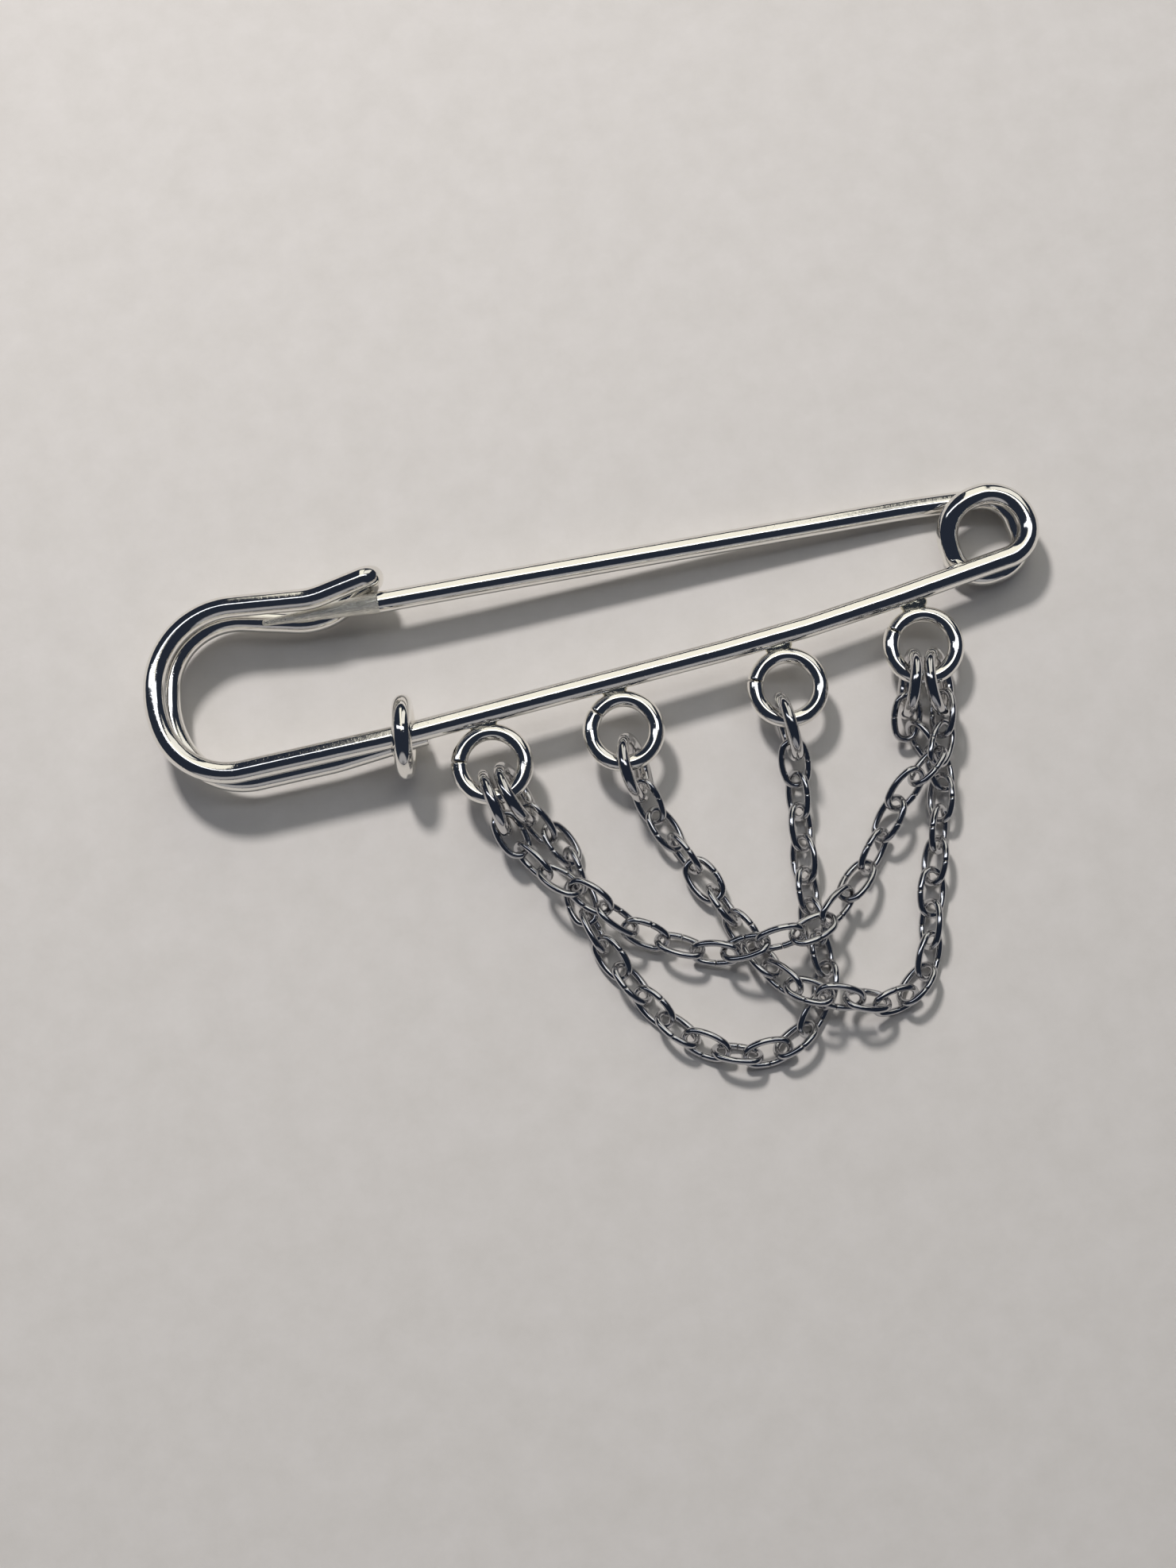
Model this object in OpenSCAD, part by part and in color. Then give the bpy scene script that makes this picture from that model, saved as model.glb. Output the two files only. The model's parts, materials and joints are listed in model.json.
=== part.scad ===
// Kilt-pin brooch with chain swags: a long safety pin bent from round wire, with four split
// loops soldered under its bar and three swags of oval cable chain hung between them.
// It lies closed on a flat surface: +X runs from the hook to the coil, +Y from the bar to the
// tongue, +Z up. Lengths are millimetres.

/* [Wire] */
// Diameter of the pin's wire
wire_d = 1.8; // [1.4:0.1:2.2]
// Length over the hook and the coil
pin_len = 74.7; // [68:0.1:84]
// Gap between the two wires of the doubled hook where the keeper holds them
wire_gap = 0.06; // [0.04:0.01:0.3]

/* [Coil] */
// Radius of the upper turn, to the wire's centre
coil_r = 3.27; // [2.8:0.01:4]
// Radius of the lower turn, to the wire's centre
lower_r = 2.9; // [2.4:0.1:3.6]
// Free gap between the two turns
coil_gap = 0.45; // [0.2:0.05:1]
// Distance from the coil's centre to the bar's line
bar_off = 2.5; // [2:0.1:3.2]
// Distance from the coil's centre to the tongue's line
tongue_off = 3.5; // [3:0.05:4]
// Gap left in the lower turn between the frame and the tongue
split_gap = 0.06; // [0.04:0.01:0.3]

/* [Bar] */
// Angle of the bar to the pin's length beside the coil
bar_turn = 7.7; // [4:0.1:10]
// Angle of the bar to the pin's length beside the keeper
bar_slope = 2.8; // [1:0.1:4]
// Distance from the coil's centre to the bar's gentle bend
bar_bend_at = 17; // [12:0.5:24]

/* [Hook] */
// Length of the hook from the keeper to its closed end
hook_len = 19; // [15:0.5:24]
// Width of the hook between its two long sides
hook_w = 14.3; // [12:0.1:17]
// Rise of the hook's free end over its closed end
hook_rise = 0.45; // [0:0.05:1]

/* [Keeper] */
// Diameter of the keeper ring's wire
keeper_wire = 1.6; // [1.2:0.1:2]
// Clearance between the keeper ring and the two wires inside it
keeper_clear = 0.06; // [0.04:0.01:0.3]
// Turn of the keeper ring about the upright line, from square across the bar, in degrees
keeper_turn = -12; // [-20:0.5:20]

/* [Tongue] */
// Length of the ground point
point_len = 9.6; // [6:0.1:14]
// Diameter of the point's rounded tip
tip_d = 0.5; // [0.3:0.1:0.9]
// Distance from the hook's closed end to the tip of the point
tip_from_end = 10.5; // [8:0.1:13]
// Distance from the hook's free end in to the tongue's line
tongue_in = 2; // [1.7:0.05:3]
// Climb of the tongue's last stretch, into the hook, in degrees
tongue_climb = 2; // [1.5:0.1:3]
// Length of that last stretch, from a slight bend in the tongue to its rest on the hook
tongue_rest_run = 10.3; // [6:0.1:16]

/* [Loops] */
// Outer diameter of a loop
loop_d = 6.7; // [5.5:0.1:8]
// Diameter of a loop's wire
loop_wire = 1.35; // [1:0.05:1.6]
// Places of the four loops along the pin, from its outer end at the hook
loop_at = [26.4, 37.4, 51.3, 63.0];
// Gaps between the bar and each loop that the solder fills
loop_gaps = [0, 0.1, 0.15, 0.4];
// Directions of the loops' seams, in degrees
loop_seams = [165, 135, 158, 142];
// Hairline gap in the seam of every split ring
seam_gap = 0.06; // [0.02:0.01:0.2]
// Radius of the solder bead at each loop
solder_r = 0.7; // [0.5:0.05:1]

/* [Jump rings] */
// Outer diameter of a jump ring
jump_d = 5.9; // [5:0.1:7]
// Diameter of a jump ring's wire
jump_wire = 1.0; // [0.8:0.05:1.2]

/* [Chain] */
// Outer length of a link
link_len = 4.3; // [3.8:0.05:4.6]
// Outer width of a link
link_w = 2.75; // [2.5:0.05:3.2]
// Diameter of the links' wire
link_wire = 0.56; // [0.45:0.01:0.7]
// Free play between a link and the next one
link_play = 0.12; // [0.1:0.01:0.4]
// Clearance between the surface and what lies on it
rest_gap = 0.02; // [0:0.01:0.1]

/* [Hidden] */
$fn = 48;
steel = [0.8, 0.8, 0.82];
wire_r = wire_d / 2;

// Plain vector and angle helpers.
function unit(v) = v / norm(v);
function heading(a) = [cos(a), sin(a), 0];
function left_of(v) = unit([-v[1], v[0], 0]);
function place(row) = [row[0], row[1], row[2]];
function level(v, z) = [v[0], v[1], z];

// Heights of the wire's centre. The coil's lower turn and the keeper ring lie on the surface.
lower_z = wire_r;
upper_z = lower_z + wire_d + coil_gap;
stack = wire_d + wire_gap;
keeper_in = wire_d + wire_gap / 2 + keeper_clear;
keeper_r = keeper_in + keeper_wire / 2;
keeper_z = keeper_r + keeper_wire / 2;
front_z = keeper_z + stack / 2;
back_z = keeper_z - stack / 2;

// Places of the closed end and the coil. The coil's centre is the zero of the width.
end_x = wire_r - pin_len / 2;
coil_at = [pin_len / 2 - wire_r - coil_r, 0, 0];

// A line of the pin that passes the coil's centre on its right at a distance, by its heading.
function side_foot(a, off) = coil_at + off * heading(a - 90);
// The corner where two such lines cross.
function corner(a, off_a, b, off_b) =
    side_foot(a, off_a) + heading(a) * (off_b - off_a * cos(b - a)) / sin(b - a);

// The bar leaves the coil, bends gently and runs to the keeper.
bar_bend = side_foot(bar_turn, bar_off) - bar_bend_at * heading(bar_turn);
keeper_x = end_x + hook_len;
keeper_y = bar_bend[1] - (bar_bend[0] - keeper_x) * tan(bar_slope);
bar_climb = (front_z - upper_z) / (coil_at[0] - keeper_x);
function bar_z(x) = front_z - bar_climb * (x - keeper_x);
bar_bend_r = pin_len * 2.3;
long_bend_r = pin_len * 0.8;
bar_bend_half = bar_bend_r * tan((bar_turn - bar_slope) / 2);
function bar_y(x) = (x < bar_bend[0]
        ? keeper_y + (x - keeper_x) * tan(bar_slope)
        : bar_bend[1] + (x - bar_bend[0]) * tan(bar_turn))
    + pow(max(0, bar_bend_half - abs(x - bar_bend[0])), 2) / (2 * bar_bend_r);

// Corners of the hook as shares: along hook_len from the closed end, across hook_w from the
// keeper's wires, above the wire's level at the keeper by wire_d, and bend radius by hook_w.
hook_front = [
    [0.05, -0.01, 0.02, 0.40],
    [-0.012, 0.44, 0.05, 0.62],
    [0.065, 0.99, 0.05, 0.47],
    [0.735, 0.88, 0.17, 0.41],
];
hook_back = [
    [0.90, 0.87, -0.43, 0.15],
    [0.74, 0.785, -0.6, 0.40],
    [0.117, 0.99, -0.15, 0.40],
    [0.025, 0.375, -0.06, 0.67],
    [0.132, -0.05, -0.03, 0.49],
    [0.693, -0.045, 0, 0.84],
];
hook_tip = [1.01, 0.945];
back_end = [1.09, 0];
fold_r = stack / 2;
function hook_row(row, z) = [end_x + row[0] * hook_len, keeper_y + row[1] * hook_w,
    z + row[2] * wire_d, row[3] * hook_w];
function hook_spot(share, z) = [end_x + share[0] * hook_len, keeper_y + share[1] * hook_w, z];
tip_z = front_z + hook_rise;

// Bend radii of the coil's corners, and the wire's way round it: the upper turn is entered
// from the bar, sinks along the side next to the bar and ends in the lower turn's first side.
first_r = coil_r * 0.79;
turn_r = coil_r * 0.94;
low_turn_r = lower_r * 0.95;
side_right = bar_turn + 90;
side_top = bar_turn + 180;
side_left = bar_turn + 270;
exit_turn = 180 - 4.3;
low_corner = corner(bar_turn, lower_r, side_left, coil_r);
split_at = side_foot(bar_turn, lower_r);

frame_route = concat(
    [
        concat(place(level(split_at - heading(bar_turn) * split_gap / 2, lower_z)), [0]),
        concat(place(level(low_corner, lower_z)), [low_turn_r]),
        concat(place(level(corner(side_top, coil_r, side_left, coil_r), upper_z)), [turn_r]),
        concat(place(level(corner(side_right, coil_r, side_top, coil_r), upper_z)), [turn_r]),
        concat(place(level(corner(bar_turn, bar_off, side_right, coil_r), upper_z)), [first_r]),
        [bar_bend[0], bar_bend[1], bar_z(bar_bend[0]), bar_bend_r],
        [keeper_x, keeper_y, front_z, long_bend_r],
    ],
    [for (row = hook_front) hook_row(row, front_z)],
    [
        concat(hook_spot(hook_tip, tip_z), [fold_r]),
        concat(hook_spot(hook_tip, tip_z - stack), [fold_r]),
    ],
    [for (row = hook_back) hook_row(row, back_z)],
    [concat(hook_spot(back_end, back_z), [0])]
);

// The tongue starts in the lower turn, leaves the coil, climbs to a slight bend and runs on
// into the hook, where its ground point rests on the dip of the back wire.
exit_foot = side_foot(exit_turn, tongue_off);
exit_run = coil_r * 1.7;
exit_rise = wire_d * 0.08;
tongue_bend = level(exit_foot + heading(exit_turn) * exit_run, lower_z + exit_rise);
dip = hook_row(hook_back[0], back_z);
tip_x = end_x - wire_r + tip_from_end;
point_share = (tip_x + point_len - dip[0]) / point_len;
point_r = wire_r + (tip_d / 2 - wire_r) * point_share;
rest = [dip[0], hook_spot(hook_tip, 0)[1] - tongue_in, dip[2] + wire_r + point_r + wire_gap];
last_way = unit([rest[0] - tongue_bend[0], rest[1] - tongue_bend[1], 0]) + [0, 0, tan(tongue_climb)];
tongue_knee = rest - unit(last_way) * tongue_rest_run;
tongue_end = rest - unit(last_way) * point_len * point_share;
tongue_route = [
    concat(place(level(split_at + heading(bar_turn) * split_gap / 2, lower_z)), [0]),
    concat(place(level(corner(bar_turn, lower_r, side_right, lower_r), lower_z)), [low_turn_r]),
    concat(place(level(corner(side_right, lower_r, exit_turn, tongue_off), lower_z)), [low_turn_r]),
    concat(place(tongue_bend), [long_bend_r]),
    concat(place(tongue_knee), [long_bend_r]),
    concat(place(tongue_end), [0]),
];

// One wire along a route of rows [x, y, z, bend radius], drawn bend after bend. Its frame
// looks along the wire, with its Y on the axis of the bend that was made last. The straight
// stretches are thinner than the bends by a hair and reach into them, so all join soundly.
hair = 0.005;
lap = 0.05;
function way(route, i) = unit(place(route[i + 1]) - place(route[i]));
function bend_axis(route, i) = unit(cross(way(route, i - 1), way(route, i)));
function bend_angle(route, i) = acos(min(1, way(route, i - 1) * way(route, i)));
function reach(route, i) = norm(place(route[i + 1]) - place(route[i]));
function full_trim(route, i) = i == 0 || i == len(route) - 1
    ? 0
    : route[i][3] * tan(bend_angle(route, i) / 2);
// Share of the two bends at the ends of a stretch that leaves a short straight between them.
function room(route, i) = let (bends = full_trim(route, i) + full_trim(route, i + 1))
    bends > reach(route, i) - 2 * lap ? (reach(route, i) - 2 * lap) / bends : 1;
function eased(route, i) = min(room(route, i - 1), room(route, i));
function bend_radius(route, i) = route[i][3] * eased(route, i);
function trim(route, i) = i == 0 || i == len(route) - 1
    ? 0
    : full_trim(route, i) * eased(route, i);
function feed(route, i) = reach(route, i) - trim(route, i) - trim(route, i + 1);
function bend_roll(route, i, was) = let (now = bend_axis(route, i))
    atan2(cross(was, now) * way(route, i - 1), was * now);

module bend(radius, angle, r) {
    translate([radius, 0, 0])
        rotate([90, 0, 180])
            rotate_extrude(angle = angle)
                translate([radius, 0])
                    circle(r);
}

module wire_on(route, i, r, was) {
    run = feed(route, i);
    ends = i + 2 == len(route);
    from = i == 0 ? 0 : -lap;
    to = run + (ends && $children == 0 ? 0 : lap);
    translate([0, 0, from])
        cylinder(h = to - from, r = r - hair);
    translate([0, 0, run])
        if (!ends) {
            angle = bend_angle(route, i + 1);
            radius = bend_radius(route, i + 1);
            rotate([0, 0, bend_roll(route, i + 1, was)]) {
                bend(radius, angle, r);
                translate([radius * (1 - cos(angle)), 0, radius * sin(angle)])
                    rotate([0, angle, 0])
                        wire_on(route, i + 1, r, bend_axis(route, i + 1))
                            children();
            }
        } else {
            children();
        }
}

module wire(route, r) {
    first = way(route, 0);
    translate(place(route[0]))
        rotate([0, acos(first[2]), atan2(first[1], first[0])])
            wire_on(route, 0, r, left_of(first))
                children();
}

// A ring of round wire, sawn through on the X side of its own frame.
module split_ring(outer_d, d) {
    ring_r = (outer_d - d) / 2;
    saw = seam_gap / ring_r * 180 / PI;
    rotate([0, 0, saw / 2])
        rotate_extrude(angle = 360 - saw)
            translate([ring_r, 0])
                circle(d / 2);
}

// The loops hang level under the bar, a little lower than it, and touch it.
loop_r = (loop_d - loop_wire) / 2;
loop_dip = 20;
loop_sink = loop_wire * 0.04;
function loop_touch(i) = wire_r + loop_wire / 2 - loop_sink + loop_gaps[i];
function loop_x(i) = loop_at[i] - pin_len / 2;
function loop_place(i) = [loop_x(i), bar_y(loop_x(i)) - loop_touch(i) * cos(loop_dip) - loop_r,
    bar_z(loop_x(i)) - loop_touch(i) * sin(loop_dip)];
function solder_off(i) = wire_r * 0.9 + loop_gaps[i] / 2;
function solder_place(i) = [loop_x(i), bar_y(loop_x(i)) - solder_off(i) * cos(loop_dip),
    bar_z(loop_x(i)) - solder_off(i) * sin(loop_dip)];

// The six jump rings: loop that carries the ring, direction round that loop in degrees, share
// of the slack that the ring hangs out, direction it lies in, its lean to the left of that,
// turn of the chain as it leaves the ring, and turn of the chain's end link about its length.
jump_rows = [
    [0, -98, 0.36, -80, -4, 8, 32],
    [0, -62, 0.30, -74, -18, 8, -88],
    [1, -86, 0.34, -90, -20, 12, -92],
    [2, -103, 0.50, -86, 0, -6, -42],
    [3, -123, 0.68, -108, 4, 6, -30],
    [3, -81, 0.54, -96, -26, -9, -4],
];
jump_r = (jump_d - jump_wire) / 2;
jump_slack = jump_r - jump_wire / 2 - loop_wire / 2;
function jump_place(row) = let (loop = loop_place(row[0]))
    level(loop + (loop_r + jump_slack * row[2]) * heading(row[1]),
        jump_r * cos(row[4]) + jump_wire / 2 + rest_gap);
function jump_up(row) = cos(row[4]) * [0, 0, 1] + sin(row[4]) * left_of(heading(row[3]));

// Links of a swag. The first and the last one hang on the far side of a jump ring, below its
// middle, with the ring's wire near the middle of the link's length.
link_half = (link_len - link_wire) / 2;
link_side = (link_w - link_wire) / 2;
link_pitch = link_len - 2 * link_wire - link_play;
seat_dip = 25;
seat_share = 0.75;
function seat(row) = jump_place(row) + (jump_r - link_half * seat_share)
    * (cos(seat_dip) * heading(row[3]) - sin(seat_dip) * jump_up(row));
function end_link(row) = concat(
    [for (c = [0:1]) (seat(row) + link_half * cos(seat_dip) * heading(row[3] + row[5]))[c]],
    [0, row[6]]);

// Chosen points of the three swags between their jump rings: way from the first loop of the
// swag to its last one and drop below that line, both as shares of the way along the pin
// between them, then lift where a swag lies on another one as a share of a link's width, and
// turn of its links about their own length. The ease of a swag is the share of a link's pitch
// that is left of it where the chain lies slack.
function swag_spot(row, a, b) = [
    a[0] + (b[0] - a[0]) * row[0],
    a[1] + (b[1] - a[1]) * row[0] - (b[0] - a[0]) * row[1],
    link_w * row[2],
    row[3]];
swag_ends = [[0, 5], [1, 3], [2, 4]];
swag_ease = [1, 0.87, 0.87];
swag_points = [
    [
        [0.045, 0.230, 0.3, 20],
        [0.090, 0.285, 0.62, 5],
        [0.145, 0.340, 0.86, 0],
        [0.195, 0.400, 0.6, -5],
        [0.250, 0.450, 0.2, -5],
        [0.385, 0.530, 0.18, 3],
        [0.455, 0.540, 0.58, 5],
        [0.525, 0.540, 0.73, 8],
        [0.600, 0.545, 0.8, 12],
        [0.665, 0.515, 0.57, 2],
        [0.720, 0.475, 0.26, 8],
        [0.770, 0.430, 0.08, 10],
        [0.850, 0.335, 0.26, 0],
        [0.900, 0.285, 0.74, -10],
        [0.975, 0.245, 0.62, -8],
    ],
    [
        [0.165, 0.295, 0, -76],
        [0.190, 0.400, 0, -66],
        [0.190, 0.505, 0, -38],
        [0.245, 0.700, 0, -8],
        [0.405, 0.980, 0, 0],
        [0.575, 1.105, 0, -10],
        [0.685, 1.125, 0, -8],
        [0.790, 1.095, 0, 0],
        [0.905, 0.955, 0, 0],
        [0.910, 0.740, 0, 0],
        [0.930, 0.545, 0, 0],
        [0.960, 0.335, 0, -10],
    ],
    [
        [0.065, 0.330, 0, -78],
        [0.110, 0.430, 0, -58],
        [0.190, 0.615, 0, -18],
        [0.270, 0.805, 0.04, 5],
        [0.320, 0.895, 0.4, 8],
        [0.395, 0.960, 0.73, 8],
        [0.490, 1.005, 0.73, 0],
        [0.585, 1.040, 0.29, 0],
        [0.670, 1.055, 0.07, 0],
        [0.740, 1.015, 0, 0],
        [0.790, 0.945, 0, -5],
        [0.845, 0.760, 0, -18],
        [0.915, 0.575, 0, 10],
        [0.965, 0.405, 0, -12],
        [0.940, 0.305, 0, -20],
    ],
];

// Smooth curve through the rows of a route, with the same number of steps in each span.
span_steps = 12;
function between(a, b, c, d, t) = b + (c - a) * t / 2
    + (2 * a - 5 * b + 4 * c - d) * t * t / 2 + (3 * b - a - 3 * c + d) * t * t * t / 2;
function curve(rows) = let (last = len(rows) - 1) concat(
    [for (i = [0:last - 1], k = [0:span_steps - 1])
        between(rows[max(i - 1, 0)], rows[i], rows[i + 1], rows[min(i + 2, last)],
            k / span_steps)],
    [rows[last]]);
// Length marks along a curve, stretched where it turns, so that links stand closer there.
turn_share = 0.055;
turn_cost = turn_share * link_len * link_len;
function step(line, i) = place(line[i]) - place(line[i - 1]);
function turned(line, i) = i < 2 ? 0 : acos(min(1, unit(step(line, i)) * unit(step(line, i - 1))));
function lengths(line, i = 0, sum = 0) = i == len(line)
    ? []
    : let (
            long = i == 0 ? 0 : norm(step(line, i)),
            bend = i == 0 ? 0 : turned(line, i) * PI / 180,
            now = i == 0 ? 0 : sum + long + turn_cost * bend * bend / long
        ) concat([now], lengths(line, i + 1, now));
function along(line, marks, s) = let (
        i = [for (k = [0:len(line) - 2]) if (s <= marks[k + 1] || k == len(line) - 2) k][0],
        t = (s - marks[i]) / (marks[i + 1] - marks[i])
    ) line[i] + t * (line[i + 1] - line[i]);

// The links stand at even steps of about one pitch along a swag's curve, from seat to seat.
function swag_line(k) = let (
        first = jump_rows[swag_ends[k][0]],
        last = jump_rows[swag_ends[k][1]],
        a = seat(first),
        b = seat(last)
    ) curve(concat(
        [[a[0], a[1], 0, first[6]], end_link(first)],
        [for (row = swag_points[k]) swag_spot(row, loop_place(first[0]), loop_place(last[0]))],
        [end_link(last), [b[0], b[1], 0, last[6]]]));
function swag_rows(k) = let (
        line = swag_line(k),
        marks = lengths(line),
        free = marks[len(marks) - 1] - 2 * link_half,
        count = ceil(free / (link_pitch * swag_ease[k]))
    ) [for (i = [0:count]) along(line, marks, link_half + free * i / count)];
// Roll of a link about its length: the links stand on edge by turns, half over each way.
function roll(rows, i) = (i % 2 == 0 ? -45 : 45) + rows[i][3];
function stand(rows, i) = link_side * abs(sin(roll(rows, i))) + link_wire / 2 + rest_gap;
function carried(rows, i) = let (own = stand(rows, i), last = len(rows) - 1)
    0.25 * own + 0.75 * max(own, stand(rows, max(i - 1, 0)), stand(rows, min(i + 1, last)))
        + rows[i][2];
// A first or last link climbs to its jump ring.
function swag_route(k) = let (
        rows = swag_rows(k),
        last = len(rows) - 1,
        a = seat(jump_rows[swag_ends[k][0]]),
        b = seat(jump_rows[swag_ends[k][1]]),
        steps = [for (i = [0:last]) level(rows[i],
            i == 0
                ? max(carried(rows, 0), (a[2] + carried(rows, 1)) / 2)
                : i == last
                    ? max(carried(rows, last), (b[2] + carried(rows, last - 1)) / 2)
                    : carried(rows, i))]
    ) concat([a], steps, [b]);
function link_way(route, i) = unit(i == 1
    ? route[1] - route[0]
    : i == len(route) - 2
        ? route[i + 1] - route[i]
        : route[i + 1] - route[i - 1]);
// Links of a swag as rows [centre, direction, roll], none of them below the surface.
function swag_links(k) = let (rows = swag_rows(k), route = swag_route(k))
    [for (i = [1:len(route) - 2]) let (
            way = link_way(route, i),
            turn = roll(rows, i - 1),
            low = norm([link_half * way[2], link_side * sin(turn)]) + link_wire / 2 + rest_gap
        ) [level(route[i], max(route[i][2], low)), way, turn]];

// An oval link lying in XY with its length on X: four arcs of round wire, each tangent to the
// next. The long sides bend on long_r, the ends on end_r, and the sides reach into the ends.
long_r = link_side * 3.6;
end_r = (link_half * link_half + link_side * link_side - 2 * long_r * link_side)
    / (2 * (link_half - long_r));
end_angle = atan2(long_r - link_side, link_half - end_r);
lap_angle = lap / long_r * 180 / PI;
module oval_link() {
    for (turn = [0, 180])
        rotate([0, 0, turn]) {
            translate([link_half - end_r, 0, 0])
                rotate([0, 0, -end_angle])
                    rotate_extrude(angle = 2 * end_angle)
                        translate([end_r, 0])
                            circle(link_wire / 2);
            translate([0, link_side - long_r, 0])
                rotate([0, 0, end_angle - lap_angle])
                    rotate_extrude(angle = 180 - 2 * end_angle + 2 * lap_angle)
                        translate([long_r, 0])
                            circle(link_wire / 2 - hair);
        }
}

module swag(k) {
    for (link = swag_links(k))
        translate(link[0])
            rotate([0, -asin(link[1][2]), atan2(link[1][1], link[1][0])])
                rotate([link[2], 0, 0])
                    oval_link();
}

module pin_frame() {
    color(steel) {
        wire(frame_route, wire_r);
        for (i = [0:3]) {
            translate(loop_place(i))
                rotate([0, 0, loop_seams[i]])
                    split_ring(loop_d, loop_wire);
            translate(solder_place(i))
                rotate([70, 0, 20])
                    sphere(solder_r);
        }
    }
}

module pin_tongue() {
    color(steel)
        wire(tongue_route, wire_r) {
            cylinder(h = point_len - tip_d / 2, r1 = wire_r, r2 = tip_d / 2 - 2 * hair);
            translate([0, 0, point_len - tip_d / 2])
                sphere(tip_d / 2);
        }
}

module keeper_ring() {
    color(steel)
        translate([keeper_x, keeper_y, keeper_z])
            rotate([0, 90, bar_slope + keeper_turn])
                rotate_extrude()
                    translate([keeper_r, 0])
                        circle(keeper_wire / 2);
}

module jump_ring(row) {
    color(steel)
        translate(jump_place(row))
            rotate([0, 0, row[3]])
                rotate([90 - row[4], 0, 0])
                    rotate([0, 0, 150])
                        split_ring(jump_d, jump_wire);
}

// The middle of the width, from the hook's outer side to the lowest swag, goes to zero. The
// hook is widest in two bends of the route, one in each of its wires.
widest_bends = [9, 15];
function bend_centre(route, i) = place(route[i])
    + unit(way(route, i) - way(route, i - 1)) * bend_radius(route, i)
    / cos(bend_angle(route, i) / 2);
top_y = wire_r + max([for (i = widest_bends)
    bend_centre(frame_route, i)[1] + bend_radius(frame_route, i)]);
lowest_link = min([for (k = [0:2]) for (link = swag_links(k)) link[0][1]]);
bottom_y = lowest_link - link_side * sin(45) - link_wire / 2;
shift_y = -(top_y + bottom_y) / 2;

translate([0, shift_y, 0]) {
    pin_frame();
    pin_tongue();
    keeper_ring();
    jump_ring(jump_rows[0]);  // jump_ring_1
    jump_ring(jump_rows[1]);  // jump_ring_2
    jump_ring(jump_rows[2]);  // jump_ring_3
    jump_ring(jump_rows[3]);  // jump_ring_4
    jump_ring(jump_rows[4]);  // jump_ring_5
    jump_ring(jump_rows[5]);  // jump_ring_6
    color(steel) swag(0);  // upper_swag
    color(steel) swag(1);  // lower_swag
    color(steel) swag(2);  // right_swag
}
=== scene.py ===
"""A kilt-pin brooch in bright plated wire, with three swags of cable chain, lying on white paper.

The solids of the frame give every size and place that they hold. The pin's wire is bent again
here from the same few sizes, smooth and in one sweep; rings and links are formed once and set
where the frame's rings and links are.
"""
import json
import math
import random

import bpy
import numpy as np
from mathutils import Matrix, Vector


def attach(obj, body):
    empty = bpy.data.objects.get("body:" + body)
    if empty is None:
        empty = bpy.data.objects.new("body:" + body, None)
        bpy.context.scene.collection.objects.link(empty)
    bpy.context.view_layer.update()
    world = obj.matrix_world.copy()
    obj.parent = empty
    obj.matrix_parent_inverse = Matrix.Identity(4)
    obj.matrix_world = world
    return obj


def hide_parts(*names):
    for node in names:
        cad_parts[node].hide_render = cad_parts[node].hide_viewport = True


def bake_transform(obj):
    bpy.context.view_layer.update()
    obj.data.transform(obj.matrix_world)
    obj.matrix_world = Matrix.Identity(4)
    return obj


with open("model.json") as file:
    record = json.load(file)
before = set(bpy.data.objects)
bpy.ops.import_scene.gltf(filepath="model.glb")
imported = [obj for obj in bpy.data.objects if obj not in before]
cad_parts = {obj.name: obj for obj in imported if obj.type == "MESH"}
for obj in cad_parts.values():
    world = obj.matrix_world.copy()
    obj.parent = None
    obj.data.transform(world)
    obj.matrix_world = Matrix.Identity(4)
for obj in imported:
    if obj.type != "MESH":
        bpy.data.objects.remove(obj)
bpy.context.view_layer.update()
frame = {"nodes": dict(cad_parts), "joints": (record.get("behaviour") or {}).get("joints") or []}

MM = 0.001
rng = random.Random(7)

# The photograph's height, the camera's focal length and the row of the place straight under the
# camera, in pixels.
PHOTO_H = 1974
FOCAL_PX = 2800
NADIR_ROW = 1455

# The camera over the paper, and the turn of the pin in the photograph, in degrees.
CAMERA_HEIGHT = 180.72
SENSOR_HEIGHT = 36
NEAR_CLIP = 10
PIN_TURN = 12.5

# The coil's centre is where the tongue turns. All places below are millimetres.
COIL = Vector(frame["joints"][0]["pos_m"]) / MM
# Where the camera stands over the paper, from the coil's centre.
CAMERA_FROM_COIL = Vector((-43.32, -42.34, 0))

# The pin's wire, as the solids have it. Turns, slopes and climbs are degrees.
PIN_LEN = 74.7
WIRE_D = 1.8
WIRE_R = WIRE_D / 2
WIRE_GAP = 0.06
COIL_R = 3.27
LOWER_R = 2.9
COIL_GAP = 0.45
BAR_OFF = 2.5
TONGUE_OFF = 3.5
BAR_TURN = 7.7
BAR_SLOPE = 2.8
BAR_BEND_AT = 17
BAR_BEND_R = PIN_LEN * 2.3
LONG_BEND_R = PIN_LEN * 0.8
HOOK_LEN = 19
HOOK_W = 14.3
HOOK_RISE = 0.45
KEEPER_WIRE = 1.6
KEEPER_CLEAR = 0.06
KEEPER_TURN = -12
POINT_LEN = 9.6
TIP_D = 0.5
TIP_FROM_END = 10.5
TONGUE_IN = 2
TONGUE_CLIMB = 2
TONGUE_REST_RUN = 10.3
TONGUE_START_RUN = COIL_R * 1.7
TONGUE_START_LIFT = WIRE_D * 0.08
EXIT_TURN = 175.7

# Bend radii of the wire as it enters the coil and in the coil's two turns, and the straight that
# is kept between two bends.
COIL_ENTRY_BEND = COIL_R * 0.79
UPPER_TURN_BEND = COIL_R * 0.94
LOWER_TURN_BEND = LOWER_R * 0.95
BEND_GAP = 0.1

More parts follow.
